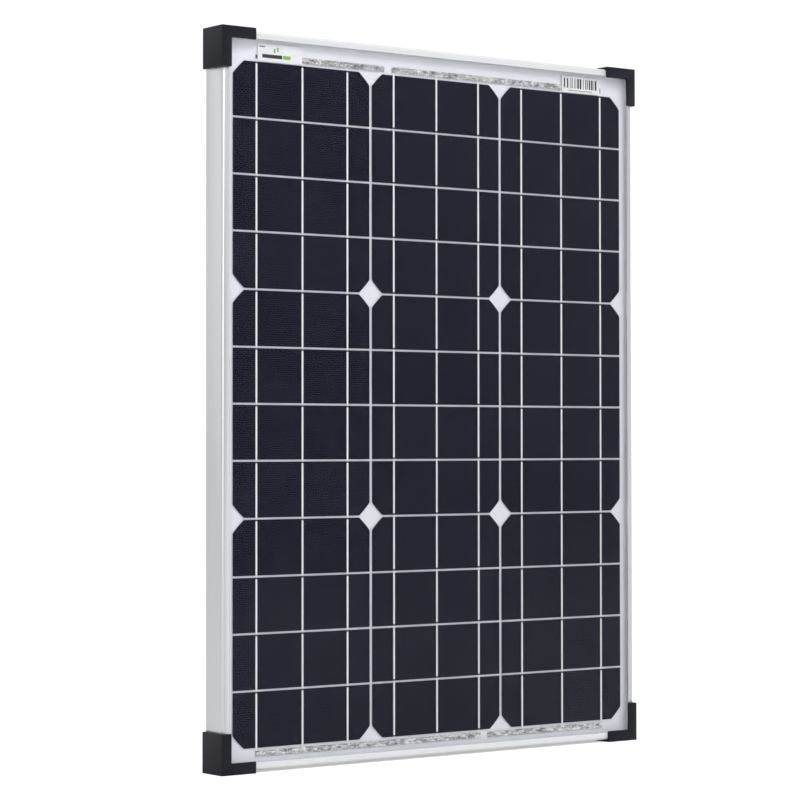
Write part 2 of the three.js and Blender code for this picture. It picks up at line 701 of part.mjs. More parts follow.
/** An open tray with posts for the terminals, two hinge ears and two holes for the glands. */
function junctionBoxBase() {
  const w = BOX.wall;
  const tray = plate(boxOutline(0), BOX.floorY, BOX.rimY);
  const hollow = plate(boxOutline(w), BOX.floorY + w, BOX.rimY + 1);
  const posts = [0, 1, 2].map((index) => {
    const x = terminalX(index);
    const top = TERMINAL_TOP_Y - TERMINAL_THICKNESS - LAYER_GAP;
    return block(x - 5, x + 5, BOX.floorY + w / 2, top, TERMINAL_Z - 7, TERMINAL_Z + 7);
  });
  const ears = earX.map((x) =>
    union([
      rod("x", HINGE.radius, x, HINGE.earLength, hingeCentre),
      block(x, x + HINGE.earLength, HINGE.y - HINGE.radius, BOX.rimY - 0.2, BOX_TOP - w / 2, HINGE_Z),
    ]),
  );
  const pinHoles = earX.map((x) =>
    rod("x", HINGE.pinRadius + 0.1, x - 1, HINGE.earLength + 2, hingeCentre),
  );
  const glandHoles = glandX.map((x) => rod("z", GLAND.stub + 0.15, BOX.bottom - 1, w + 2, [x, GLAND.y]));
  const body = union([cut(tray, [hollow]), ...posts, ...ears]);
  return cut(body, [...pinHoles, ...glandHoles, ...leadSlits(BOX.floorY - 1, BOX.floorY + w + 1)]);
}
addPiece("junction_box_base", junctionBoxBase(), "blackPlastic");

addPiece(
  "junction_box_seal",
  cut(plate(boxOutline(0.3), BOX.rimY + LAYER_GAP, LID_Y - 0.2), [
    plate(boxOutline(BOX.wall - 0.3), BOX.rimY - 1, LID_Y + 1),
  ]),
  "rubber",
);

/** The lid hangs from its upper edge: a plate with a skirt inside the tray and a long knuckle. */
function junctionBoxLid() {
  const cover = plate(boxOutline(0), LID_Y, LID_Y + LID_THICKNESS);
  const skirtInside = SKIRT.inset + SKIRT.wall;
  const skirt = cut(plate(boxOutline(SKIRT.inset), LID_Y - SKIRT.depth, LID_Y + 0.5), [
    plate(boxOutline(skirtInside), LID_Y - SKIRT.depth - 1, LID_Y),
  ]);
  const x0 = BOX.x - HINGE.lidLength / 2;
  const knuckle = rod("x", HINGE.radius, x0, HINGE.lidLength, hingeCentre);
  const web = block(x0, x0 + HINGE.lidLength, LID_Y, HINGE.y + HINGE.radius, BOX_TOP - 3, HINGE_Z);
  const bore = rod("x", HINGE.bore, x0 - 1, HINGE.lidLength + 2, hingeCentre);
  const pull = block(BOX.x - 8, BOX.x + 8, LID_Y, LID_Y + LID_THICKNESS, BOX.bottom - 3, BOX.bottom + 1);
  return cut(union([cover, skirt, knuckle, web, pull]), [bore]);
}
addPiece("junction_box_lid", junctionBoxLid(), "blackPlastic");

const pinStart = earX[0] - 0.8;
const pinLength = earX[1] + HINGE.earLength + 0.8 - pinStart;
addPiece("lid_hinge_pin", rod("x", HINGE.pinRadius, pinStart, pinLength, hingeCentre), "steel");

const TERMINAL_NAMES = ["positive", "middle", "negative"];
const CLAMP_SCREW = { radius: 1.5, headRadius: 2.6, headHeight: 1.6, above: 4 };
TERMINAL_NAMES.forEach((name, index) => {
  const x = terminalX(index);
  const z = TERMINAL_Z + CLAMP_SCREW.above;
  const y0 = TERMINAL_TOP_Y - TERMINAL_THICKNESS;
  const plateShape = block(x - 4.5, x + 4.5, y0, TERMINAL_TOP_Y, TERMINAL_Z - 6.5, TERMINAL_Z + 6.5);
  const hole = rod("y", CLAMP_SCREW.radius + 0.1, y0 - 1, TERMINAL_THICKNESS + 2, [x, z]);
  addPiece(`terminal_${name}`, cut(plateShape, [hole]), "brass");

  const shankStart = y0;
  const headStart = TERMINAL_TOP_Y + LAYER_GAP;
  const screw = union([
    rod("y", CLAMP_SCREW.radius, shankStart, headStart + 0.5 - shankStart, [x, z]),
    rod("y", CLAMP_SCREW.headRadius, headStart, CLAMP_SCREW.headHeight, [x, z]),
  ]);
  const driveSlot = block(
    x - 3,
    x + 3,
    headStart + CLAMP_SCREW.headHeight - 0.6,
    headStart + CLAMP_SCREW.headHeight + 1,
    z - 0.35,
    z + 0.35,
  );
  addPiece(`clamp_screw_${name}`, cut(screw, [driveSlot]), "steel");
});

/** A bypass diode: its body lies between two terminals and its wires rest on them. */
const DIODE = { radius: 2.4, length: 9, wire: 0.6, below: 3.6 };
[0, 1].forEach((index) => {
  const middle = (terminalX(index) + terminalX(index + 1)) / 2;
  const z = TERMINAL_Z - DIODE.below;
  const y = TERMINAL_TOP_Y + LAYER_GAP + LEAD_THICKNESS + LAYER_GAP + DIODE.wire;
  const wireLength = TERMINAL_SPACING - LEAD_WIDTH - 1;
  const shape = union([
    rod("x", DIODE.radius, middle - DIODE.length / 2, DIODE.length, [y, z], 16),
    rod("x", DIODE.wire, middle - wireLength / 2, wireLength, [y, z], 8),
  ]);
  addPiece(`bypass_diode_${index + 1}`, shape, "rubber");
});

/** Turned and hexagonal gland parts, one set for each output cable. */
const GLAND_LEVELS = {
  stubTop: BOX.bottom + 8,
  hexTop: BOX.bottom - LAYER_GAP,
  hexBottom: BOX.bottom - 4,
  sleeveBottom: BOX.bottom - 14,
  nutTop: BOX.bottom - 4.4,
  nutShoulder: BOX.bottom - 15.5,
  nutBottom: BOX.bottom - 19,
};
const SLEEVE_RADIUS = 5.2;
const SLEEVE_BORE = 4.2;
const NUT_BORE = SLEEVE_RADIUS + 0.35;
const NUT_MOUTH = GLAND.sealBore;

function hexRod(acrossFlats, from, length, centre) {
  const radius = acrossFlats / 2 / Math.cos(Math.PI / 6);
  const geometry = new THREE.CylinderGeometry(radius, radius, length, 6);
  geometry.rotateX(Math.PI / 2);
  geometry.rotateZ(Math.PI / 2);
  geometry.translate(centre[0], centre[1], from + length / 2);
  return solid(geometry);
}

["left", "right"].forEach((side, index) => {
  const centre = [glandX[index], GLAND.y];
  const level = GLAND_LEVELS;
  const body = union([
    rod("z", GLAND.stub, level.hexTop - 1, level.stubTop - level.hexTop + 1, centre),
    hexRod(GLAND.hex, level.hexBottom, level.hexTop - level.hexBottom, centre),
    rod("z", SLEEVE_RADIUS, level.sleeveBottom, level.hexBottom - level.sleeveBottom + 1, centre),
  ]);
  const bores = [
    rod("z", GLAND.bore, level.sleeveBottom - 1, level.stubTop - level.sleeveBottom + 2, centre),
    rod("z", SLEEVE_BORE, level.sleeveBottom - 1, 9, centre),
  ];
  addPiece(`cable_gland_${side}`, cut(body, bores), "blackPlastic");

  const sealBottom = level.sleeveBottom - 0.8;
  const seal = rod("z", SLEEVE_BORE - 0.1, sealBottom, 8, centre);
  const sealBore = rod("z", GLAND.sealBore, sealBottom - 1, 10, centre);
  addPiece(`gland_seal_${side}`, cut(seal, [sealBore]), "rubber");

  const nut = union([
    hexRod(GLAND.hex, level.nutShoulder + 3, level.nutTop - level.nutShoulder - 3, centre),
    rod("z", GLAND.hex / 2, level.nutShoulder, 4, centre),
    rod("z", GLAND.hex / 2 - 1.2, level.nutBottom, level.nutShoulder - level.nutBottom + 0.5, centre),
  ]);
  const nutBores = [
    rod("z", NUT_BORE, sealBottom - 0.4, level.nutTop - sealBottom + 2, centre),
    rod("z", NUT_MOUTH, level.nutBottom - 1, 10, centre),
  ];
  addPiece(`gland_nut_${side}`, cut(nut, nutBores), "blackPlastic");
});

export default panel;
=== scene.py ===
"""Looks for a framed solar panel of about 50 W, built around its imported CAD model.

Metres, in the CAD frame: X across the panel, Y from the sunny face to the back, Z up.
"""

import math
import random

import bmesh
import bpy
from mathutils import Euler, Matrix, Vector, noise


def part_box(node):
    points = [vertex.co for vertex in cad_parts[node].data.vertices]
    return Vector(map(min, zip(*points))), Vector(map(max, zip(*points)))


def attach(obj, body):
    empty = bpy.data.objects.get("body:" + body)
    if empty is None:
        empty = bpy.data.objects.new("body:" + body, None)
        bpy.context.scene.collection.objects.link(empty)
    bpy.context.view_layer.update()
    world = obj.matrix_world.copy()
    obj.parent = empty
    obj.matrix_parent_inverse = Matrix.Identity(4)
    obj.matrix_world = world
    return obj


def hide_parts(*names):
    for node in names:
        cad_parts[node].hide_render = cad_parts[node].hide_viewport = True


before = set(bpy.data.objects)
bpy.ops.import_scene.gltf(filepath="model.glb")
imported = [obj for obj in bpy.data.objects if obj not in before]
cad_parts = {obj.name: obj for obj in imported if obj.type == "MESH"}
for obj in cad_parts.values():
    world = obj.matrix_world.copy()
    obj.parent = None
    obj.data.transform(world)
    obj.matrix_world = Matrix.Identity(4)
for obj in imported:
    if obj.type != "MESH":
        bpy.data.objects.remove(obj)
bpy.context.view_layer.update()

# ---------------------------------------------------------------- driving dimensions

MM = 0.001
CELL_WIDTH = 156 * MM
COLUMN_GAP = 3 * MM
OUTER_STRIP = 51.6 * MM
INNER_STRIP = 50.7 * MM
ROW_GAP = 1.9 * MM
ROWS = 12
GROUP_ROWS = 4
WAFER_RADIUS = 102 * MM
ARC_STEPS = 10
MATRIX_X = 1.2 * MM
MATRIX_Z = 339.7 * MM
MATRIX_HEIGHT = 6 * OUTER_STRIP + 6 * INNER_STRIP + (ROWS - 1) * ROW_GAP

LAYER = 0.2 * MM
TAB_SPACING = 52 * MM
TAB_WIDTH = 2 * MM
TAB_INSET = 1.6 * MM
TAB_REACH = 7.6 * MM
TAB_STEP = 1.7 * MM
TAB_DROP = 1.2 * MM
TAB_TURN_FRONT = 0.1 * MM
TAB_TURN_BACK = 0.05 * MM
TAB_CHAMFER = 0.04 * MM
TAB_SWAY = 0.05 * MM
TAB_CROWN = 0.03 * MM

FINGER_PITCH = 2 * MM
FINGER_HEIGHT = 0.05 * MM
FINGER_RELIEF = 0.012 * MM
FINGER_MARGIN = 1 * MM

WAFER_SEED = 31

# Each string's column from the left, and which way its ribbons lead on: 1 is up, -1 is down.
STRINGS = {"left": (0, -1), "middle": (1, 1), "right": (2, -1)}

# ---------------------------------------------------------------- materials

# A noise pattern seldom leaves this part of 0 to 1.
PATTERN_LOW, PATTERN_HIGH = 0.3, 0.7


def node(tree, kind, values=None, **settings):
    """Adds a shader node, with its settings and the values of its inputs."""
    made = tree.nodes.new(kind)
    for name, value in settings.items():
        setattr(made, name, value)
    for name, value in (values or {}).items():
        made.inputs[name].default_value = value
    return made


def blank_material(name):
    """A material with nothing in it but its output."""
    material = bpy.data.materials.new(name)
    material.use_nodes = True
    tree = material.node_tree
    tree.nodes.clear()
    return material, tree, node(tree, "ShaderNodeOutputMaterial")


def stretched_noise(tree, scale, detail=4.0):
    """Noise in object space, with its own scale along X, Y and Z (cycles per metre)."""
    place = node(tree, "ShaderNodeTexCoord")
    mapping = node(tree, "ShaderNodeMapping", {"Scale": scale})
    pattern = node(
        tree, "ShaderNodeTexNoise", {"Scale": 1.0, "Detail": detail, "Roughness": 0.55}
    )
    tree.links.new(place.outputs["Object"], mapping.inputs["Vector"])
    tree.links.new(mapping.outputs["Vector"], pattern.inputs["Vector"])
    return pattern.outputs["Fac"]


def ramp(tree, source, low, high, start=PATTERN_LOW, end=PATTERN_HIGH):
    """Turns a 0 to 1 pattern into a colour between low and high."""
    made = node(tree, "ShaderNodeValToRGB")
    made.color_ramp.elements[0].position = start
    made.color_ramp.elements[0].color = (*low, 1)
    made.color_ramp.elements[1].position = end
    made.color_ramp.elements[1].color = (*high, 1)
    tree.links.new(source, made.inputs["Fac"])
    return made.outputs["Color"]


def ranged(tree, source, low, high):
    """Turns a 0 to 1 pattern into a number between low and high."""
    made = node(
        tree,
        "ShaderNodeMapRange",
        {"From Min": PATTERN_LOW, "From Max": PATTERN_HIGH, "To Min": low, "To Max": high},
    )
    tree.links.new(source, made.inputs["Value"])
    return made.outputs["Result"]


def bumped(tree, source, distance):
    """Turns a pattern into relief of about the given height."""
    made = node(tree, "ShaderNodeBump", {"Distance": distance, "Strength": 1.0})
    tree.links.new(source, made.inputs["Height"])
    return made.outputs["Normal"]


def surface(
    name,
    low,
    high,
    rough,
    scale,
    bump,
    fine_scale=None,
    metallic=0.0,
    specular=0.5,
    detail=4.0,
):
    """A finish whose colour and gloss drift with one pattern and whose relief follows another."""
    material, tree, output = blank_material(name)
    shader = node(
        tree,
        "ShaderNodeBsdfPrincipled",
        {"Metallic": metallic, "Specular IOR Level": specular},
    )
    drift = stretched_noise(tree, scale, detail)
    relief = stretched_noise(tree, fine_scale or scale, detail)
    tree.links.new(ramp(tree, drift, low, high), shader.inputs["Base Color"])
    tree.links.new(ranged(tree, relief, *rough), shader.inputs["Roughness"])
    tree.links.new(bumped(tree, relief, bump), shader.inputs["Normal"])
    tree.links.new(shader.outputs["BSDF"], output.inputs["Surface"])
    return material


def clear_film(name, haze, haze_colour, sheen_roughness, fresnel, relief, relief_scale):
    """Clear material: mostly transparent, with a thin haze and a Fresnel gloss."""
    material, tree, output = blank_material(name)
    clear = node(tree, "ShaderNodeBsdfTransparent")
    cloud = node(tree, "ShaderNodeBsdfDiffuse", {"Color": (*haze_colour, 1)})
    gloss = node(tree, "ShaderNodeBsdfGlossy", {"Roughness": sheen_roughness})
    angle = node(tree, "ShaderNodeFresnel", {"IOR": fresnel})
    patches = stretched_noise(tree, (18, 18, 18), 5)
    hazed = node(tree, "ShaderNodeMixShader")
    glossed = node(tree, "ShaderNodeMixShader")
    tree.links.new(ranged(tree, patches, 0.5 * haze, 1.5 * haze), hazed.inputs[0])
    tree.links.new(clear.outputs[0], hazed.inputs[1])
    tree.links.new(cloud.outputs[0], hazed.inputs[2])
    wave = stretched_noise(tree, relief_scale, 2)
    tree.links.new(bumped(tree, wave, relief), gloss.inputs["Normal"])
    tree.links.new(angle.outputs[0], glossed.inputs[0])
    tree.links.new(hazed.outputs[0], glossed.inputs[1])
    tree.links.new(gloss.outputs[0], glossed.inputs[2])
    tree.links.new(glossed.outputs[0], output.inputs["Surface"])
    return material


def silicon():
    """Dark blue-black wafer: each strip has its own tone, with fine level streaks."""
    material, tree, output = blank_material("silicon_wafer")
    shader = node(
        tree, "ShaderNodeBsdfPrincipled", {"Roughness": 0.42, "Specular IOR Level": 0.05}
    )
    tone = node(tree, "ShaderNodeAttribute", attribute_name="tone")
    streaks = stretched_noise(tree, (14, 14, 900), 3)
    clouds = stretched_noise(tree, (22, 22, 30), 4)
    both = node(tree, "ShaderNodeMath", operation="ADD")
    tree.links.new(ranged(tree, streaks, -0.34, 0.34), both.inputs[0])
    tree.links.new(ranged(tree, clouds, -0.25, 0.25), both.inputs[1])
    total = node(tree, "ShaderNodeMath", operation="ADD")
    tree.links.new(both.outputs[0], total.inputs[0])
    tree.links.new(tone.outputs["Fac"], total.inputs[1])
    dark, light = (0.0006, 0.0010, 0.0120), (0.0072, 0.0072, 0.0200)
    tree.links.new(ramp(tree, total.outputs[0], dark, light, 0.0, 1.0), shader.inputs["Base Color"])
    tree.links.new(shader.outputs["BSDF"], output.inputs["Surface"])
    return material


# Painted light: all four rails are one anodised aluminium. These two copies are set apart in
# colour, metal and gloss so that the upright and the level rails take the different tones the
# lighting gives them. Only the direction of the drawing lines really differs.
UPRIGHT_RAIL_PAINTED_TONES = ((0.64, 0.642, 0.668), (0.68, 0.682, 0.705))
LEVEL_RAIL_PAINTED_TONES = ((0.66, 0.665, 0.680), (0.70, 0.705, 0.720))


def brushed(name, tones, rough, scale, metallic):
    """Anodised metal with drawing lines that run along the coarse axis of its scale."""
    low, high = tones
    return surface(
        name, low, high, rough, scale, 0.004 * MM, fine_scale=scale, metallic=metallic, detail=3
    )


LEVEL = (6, 1400, 1400)
UPRIGHT = (1400, 1400, 6)

FINISHES = {
    # Lit and shaded copies of one aluminium: the upright and level finishes differ in colour, metal
    # and gloss as painted light.
    "rail_upright": brushed("anodised_upright_painted_tone", UPRIGHT_RAIL_PAINTED_TONES, (0.30, 0.40), UPRIGHT, 1.0),
    "rail_level": brushed("anodised_level_painted_tone", LEVEL_RAIL_PAINTED_TONES, (0.55, 0.65), LEVEL, 0.1),
    "key": surface(
        "mill_aluminium", (0.60, 0.61, 0.63), (0.72, 0.73, 0.75), (0.35, 0.5),
        (300, 300, 300), 0.01 * MM, metallic=1.0,
    ),
    "protector": surface(
        "moulded_black", (0.0060, 0.0065, 0.0115), (0.0090, 0.0095, 0.0155), (0.38, 0.52),
        (60, 60, 60), 0.012 * MM, fine_scale=(2600, 2600, 2600), specular=0.17,
    ),
    "box": surface(
        "grained_black", (0.010, 0.010, 0.011), (0.016, 0.016, 0.017), (0.38, 0.55),
        (50, 50, 50), 0.03 * MM, fine_scale=(1500, 1500, 1500), specular=0.5,
    ),
    "gland": surface(
        "nylon_black", (0.012, 0.012, 0.013), (0.020, 0.020, 0.021), (0.40, 0.52),
        (80, 80, 80), 0.012 * MM, fine_scale=(2200, 2200, 2200), specular=0.45,
    ),
    "rubber": surface(
        "soft_rubber", (0.014, 0.014, 0.014), (0.024, 0.024, 0.024), (0.62, 0.80),
        (120, 120, 120), 0.02 * MM, fine_scale=(1800, 1800, 1800), specular=0.3,
    ),
    "diode": surface(
        "diode_epoxy", (0.012, 0.012, 0.013), (0.020, 0.020, 0.022), (0.30, 0.42),
        (200, 200, 200), 0.008 * MM, fine_scale=(2500, 2500, 2500),
    ),
    "sealant": surface(
        "white_silicone", (0.78, 0.78, 0.76), (0.86, 0.86, 0.84), (0.40, 0.55),
        (90, 90, 90), 0.08 * MM, fine_scale=(260, 260, 260),
    ),
    "pad": surface(
        "bonding_silicone", (0.06, 0.06, 0.06), (0.11, 0.11, 0.11), (0.5, 0.65),
        (90, 90, 90), 0.08 * MM, fine_scale=(260, 260, 260),
    ),
    "backsheet": surface(
        "backsheet_film", (0.840, 0.852, 0.920), (0.880, 0.890, 0.955), (0.55, 0.68),
        (26, 26, 26), 0.01 * MM, fine_scale=(700, 700, 700), specular=0.25,
    ),
    "label": surface(
        "coated_label", (0.83, 0.835, 0.86), (0.88, 0.885, 0.905), (0.42, 0.55),
        (140, 140, 140), 0.006 * MM, fine_scale=(1200, 1200, 1200), specular=0.35,
    ),
    "dark_print": surface(
        "dark_print", (0.030, 0.030, 0.034), (0.055, 0.055, 0.060), (0.45, 0.6),
        (500, 500, 500), 0.003 * MM, specular=0.3,
    ),
    "grey_print": surface(
        "grey_print", (0.30, 0.30, 0.31), (0.40, 0.40, 0.42), (0.45, 0.6),
        (500, 500, 500), 0.003 * MM, specular=0.3,
    ),
    "green_print": surface(
        "green_print", (0.20, 0.42, 0.10), (0.28, 0.52, 0.15), (0.45, 0.6),
        (500, 500, 500), 0.003 * MM, specular=0.3,
    ),
    "tab": surface(
        "soldered_ribbon", (0.90, 0.90, 0.93), (1.0, 1.0, 1.0), (0.30, 0.50),
        (900, 900, 260), 0.05 * MM, fine_scale=(900, 900, 420), metallic=0.1,
    ),
    # Painted reflections: the colour runs in patches from near black to white, standing in for the
    # glints and dark reflections of the creased foil. The ribbon itself is plain tinned metal.
    "bus": surface(
        "ribbon_painted_reflections", (0.10, 0.10, 0.12), (1.0, 1.0, 1.0), (0.16, 0.34),
        (150, 150, 420), 0.10 * MM, fine_scale=(520, 520, 620), metallic=0.6,
    ),
    "paste": surface(
        "silver_paste", (0.14, 0.14, 0.16), (0.20, 0.20, 0.22), (0.5, 0.65),
        (600, 600, 600), 0.01 * MM, metallic=0.5,
    ),
    "steel": surface(
        "plated_steel", (0.55, 0.55, 0.57), (0.70, 0.70, 0.72), (0.22, 0.36),
        (500, 500, 500), 0.01 * MM, metallic=1.0,
    ),
    "brass": surface(
        "stamped_brass", (0.62, 0.46, 0.20), (0.74, 0.58, 0.28), (0.26, 0.40),
        (400, 400, 400), 0.01 * MM, metallic=1.0,
    ),
    "silicon": silicon(),
    "glass": clear_film(
        "tempered_glass", 0.0006, (0.80, 0.90, 0.88), 0.10, 1.17, 0.012 * MM, (420, 420, 420)
    ),
    "encapsulant": clear_film(
        "clear_encapsulant", 0.0004, (0.92, 0.93, 0.92), 0.35, 1.005, 0.01 * MM, (300, 300, 300)
    ),
}

# ---------------------------------------------------------------- making pieces


def finish_piece(obj, finish, body, replaces):
    """Gives a new object its finish, and says what it rides on and stands for."""
    obj.data.materials.clear()
    obj.data.materials.append(FINISHES[finish])
    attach(obj, body)
    if replaces:
        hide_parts(*replaces)


def soften(obj, angle):
    """Smooth shading, kept sharp where two faces meet at more than the angle."""
    for face in obj.data.polygons:
        face.use_smooth = True
    obj.data.set_sharp_from_angle(angle=math.radians(angle))


class Builder:
    """Collects closed solids, and makes one mesh piece of them."""

    def __init__(self):
        self.mesh = bmesh.new()
        self.tone = self.mesh.faces.layers.float.new("tone")

    def sweep(self, sections, tone=0.5):
        """A closed solid through sections, each a list of as many [x, y, z] points."""
        rings = [[self.mesh.verts.new(point) for point in section] for section in sections]
        faces = [self.mesh.faces.new(rings[0]), self.mesh.faces.new(rings[-1][::-1])]
        for one, two in zip(rings, rings[1:]):
            for i in range(len(one)):
                j = (i + 1) % len(one)
                faces.append(self.mesh.faces.new([one[j], one[i], two[i], two[j]]))
        for face in faces:
            face[self.tone] = tone

    def plate(self, outline, y0, y1, tone=0.5):
        """An outline of [x, z] points made into a plate from y0 to y1."""
        self.sweep([[(x, y, z) for x, z in outline] for y in (y0, y1)], tone)

    def bar(self, x0, x1, y0, y1, z0, z1, tone=0.5):
        self.plate([(x0, z0), (x1, z0), (x1, z1), (x0, z1)], y0, y1, tone)

    def piece(self, name, finish, slot, replaces=(), smooth=None):
        """Makes the piece, with smooth shading up to an angle in degrees where one is given."""
        bmesh.ops.recalc_face_normals(self.mesh, faces=self.mesh.faces)
        data = bpy.data.meshes.new(name)
        self.mesh.to_mesh(data)
        self.mesh.free()
        obj = bpy.data.objects.new(name, data)
        bpy.context.scene.collection.objects.link(obj)
        if smooth:
            soften(obj, smooth)
        finish_piece(obj, finish, "panel", replaces)


def round_edges(obj, width, segments):
    """Rounds the sharp edges, with smooth shading over them."""
    for face in obj.data.polygons:
        face.use_smooth = True
    rounding = obj.modifiers.new("rounding", "BEVEL")
    rounding.width = width
    rounding.segments = segments
    rounding.limit_method = "ANGLE"
    rounding.angle_limit = math.radians(40)
    rounding.harden_normals = True
    rounding.miter_outer = "MITER_ARC"


WELD = 0.002 * MM


def refined(source, name, finish, width, body="panel", segments=2):
    """A CAD node's shape with its edges rounded, in place of the node."""
    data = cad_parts[source].data.copy()
    data.name = name
    mesh = bmesh.new()
    mesh.from_mesh(data)
    bmesh.ops.remove_doubles(mesh, verts=mesh.verts, dist=WELD)
    bmesh.ops.dissolve_limit(
        mesh, angle_limit=math.radians(1), verts=mesh.verts, edges=mesh.edges
    )
    bmesh.ops.recalc_face_normals(mesh, faces=mesh.faces)
    plain = bpy.data.meshes.new(name)
    mesh.to_mesh(plain)
    mesh.free()
    bpy.data.meshes.remove(data)
    obj = bpy.data.objects.new(name, plain)
    bpy.context.scene.collection.objects.link(obj)
    round_edges(obj, width, segments)
    finish_piece(obj, finish, body, (source,))


def refinish(finish, *nodes):
    """A better material on CAD nodes whose shape is right."""
    for name in nodes:
        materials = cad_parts[name].data.materials
        materials.clear()
        materials.append(FINISHES[finish])


# ---------------------------------------------------------------- cells


def strip_rows():
    """Each strip from the top down: its top, its bottom, and which of its corners are cut."""
    rows = []
    top = MATRIX_Z + MATRIX_HEIGHT / 2
    for row in range(ROWS):
        place = row % GROUP_ROWS
        height = OUTER_STRIP if place in (0, GROUP_ROWS - 1) else INNER_STRIP
        cuts = {0: "top", GROUP_ROWS - 1: "bottom"}.get(place)
        rows.append({"top": top, "bottom": top - height, "cut": cuts})
        top -= height + ROW_GAP
    return rows


def corner_arc():
    """The cut corner as (distance from the middle, distance from the cut edge)."""
    half = CELL_WIDTH / 2
    start = math.acos(half / WAFER_RADIUS)
    end = math.asin(half / WAFER_RADIUS)
    angles = [start + (end - start) * i / ARC_STEPS for i in range(ARC_STEPS + 1)]
    return [(WAFER_RADIUS * math.cos(a), half - WAFER_RADIUS * math.sin(a)) for a in angles]


def strip_outline(x, row):
    """The [x, z] outline of a strip, with its cut corners."""
    half = CELL_WIDTH / 2
    if not row["cut"]:
        sides = [(half, row["bottom"]), (half, row["top"])]
    elif row["cut"] == "top":
        arc = [(across, row["top"] - depth) for across, depth in corner_arc()]
        sides = [(half, row["bottom"]), *arc]
    else:
        arc = [(across, row["bottom"] + depth) for across, depth in corner_arc()]
        sides = [*arc[::-1], (half, row["top"])]
    return [(x + a, z) for a, z in sides] + [(x - a, z) for a, z in reversed(sides)]


def half_width_at(row, z):
    """Half the width of a strip at a height, less the bare margin at its sides."""
    half = CELL_WIDTH / 2
    if row["cut"]:
        depth = row["top"] - z if row["cut"] == "top" else z - row["bottom"]
        rise = half - depth
        half = min(half, math.sqrt(WAFER_RADIUS**2 - rise**2))
    return half - FINGER_MARGIN


def add_fingers(builder, x, row, front):
    """Fine printed lines across a strip, evenly spaced down it."""
    height = row["top"] - row["bottom"]
    count = int(height / FINGER_PITCH)
    first = row["top"] - (height - (count - 1) * FINGER_PITCH) / 2
    for i in range(count):
        z = first - i * FINGER_PITCH
        half = half_width_at(row, z)
        builder.bar(
            x - half, x + half, front - FINGER_RELIEF, front + FINGER_RELIEF,
            z - FINGER_HEIGHT / 2, z + FINGER_HEIGHT / 2,
        )


def add_busbar_end(builder, x, near, way, front):
    """The printed busbar narrows from the strip's edge to just short of the ribbon."""
    wide, narrow, length, inset = 0.75 * MM, 0.35 * MM, 2.1 * MM, 0.25 * MM
    edge = near + inset * way
    tip = near + length * way
    outline = [(x - wide, edge), (x + wide, edge), (x + narrow, tip), (x - narrow, tip)]
    builder.plate(outline, front - 2 * FINGER_RELIEF, front + FINGER_RELIEF)


def ribbon_section(x, y, z, seed):
    """A ribbon's cross-section: flat, a little uneven on its face."""
    half = TAB_WIDTH / 2
    sway = TAB_SWAY * noise.noise(Vector((seed, z * 90, 0)))
    crown = TAB_CROWN * noise.noise(Vector((seed, z * 350, 5)))
    x0, x1 = x - half + sway, x + half + sway
    return [
        (x0, y + LAYER, z),
        (x0, y + TAB_CHAMFER, z),
        (x0 + 0.25 * half, y - crown * 0.2, z),
        (x + sway, y + crown, z),
        (x1 - 0.25 * half, y, z),
        (x1, y + TAB_CHAMFER, z),
        (x1, y + LAYER, z),
    ]


def add_ribbon(builder, x, path, seed):
    """A ribbon along a path of (height, depth of its sunny face) points, taken in small steps."""
    stations = []
    for (z0, y0), (z1, y1) in zip(path, path[1:]):
        steps = max(1, round(abs(z1 - z0) / TAB_STEP)) if y0 == y1 else 4
        for i in range(steps):
            part = i / steps
            ease = part * part * (3 - 2 * part)
            stations.append((z0 + (z1 - z0) * part, y0 + (y1 - y0) * ease))
    stations.append(path[-1])
    builder.sweep([ribbon_section(x, y, z, seed) for z, y in stations])


def cell_string(side, column, way):
    """Twelve strips in series, the lines printed on them, and three lines of ribbon."""
    x = MATRIX_X + (column - 1) * (CELL_WIDTH + COLUMN_GAP)
    tab_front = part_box(f"cell_string_{side}")[0].y
    wafer_front = tab_front + LAYER
    wafer_back = wafer_front + LAYER
    rows = strip_rows()
    order = rows[::-1] if way > 0 else rows
    near, far = ("bottom", "top") if way > 0 else ("top", "bottom")
    draw = random.Random(WAFER_SEED + column)
    wafers, fingers, ribbons = Builder(), Builder(), Builder()
    for i, row in enumerate(order):
        wafers.plate(strip_outline(x, row), wafer_front, wafer_back, draw.uniform(0.3, 0.7))
        add_fingers(fingers, x, row, wafer_front)
        for number, offset in enumerate((-TAB_SPACING, 0, TAB_SPACING)):
            add_busbar_end(fingers, x + offset, row[near], way, wafer_front)
            path = [
                (row[near] + TAB_INSET * way, tab_front),
                (row[far] - TAB_TURN_FRONT * way, tab_front),
            ]
            if i + 1 < len(order):
                path.append((order[i + 1][near] + TAB_TURN_BACK * way, wafer_back))
                path.append((order[i + 1][far] - TAB_INSET * way, wafer_back))
            else:
                path.append((row[far] + TAB_DROP * way, wafer_back))
                path.append((row[far] + TAB_REACH * way, wafer_back))
            add_ribbon(ribbons, x + offset, path, 10 * column + 3 * i + number)
    first = order[0][near]
    for number, offset in enumerate((-TAB_SPACING, 0, TAB_SPACING)):
        path = [(first - TAB_REACH * way, wafer_back), (first + TAB_INSET * way, wafer_back)]
        add_ribbon(ribbons, x + offset, path, 40 + number)
    wafers.piece(f"wafers_{side}", "silicon", "solar_cell", (f"cell_string_{side}",))
    fingers.piece(f"printed_lines_{side}", "paste", "tinned_ribbon")
    ribbons.piece(f"tabs_{side}", "tab", "tinned_ribbon", smooth=40)


for side, (column, way) in STRINGS.items():
    cell_string(side, column, way)


# ---------------------------------------------------------------- bus ribbons

CREASE_STEP = 1.9 * MM
CREASE_SHIFT = 0.45 * MM
CREASE_POINTS = 5
CREASE_SEED = 71


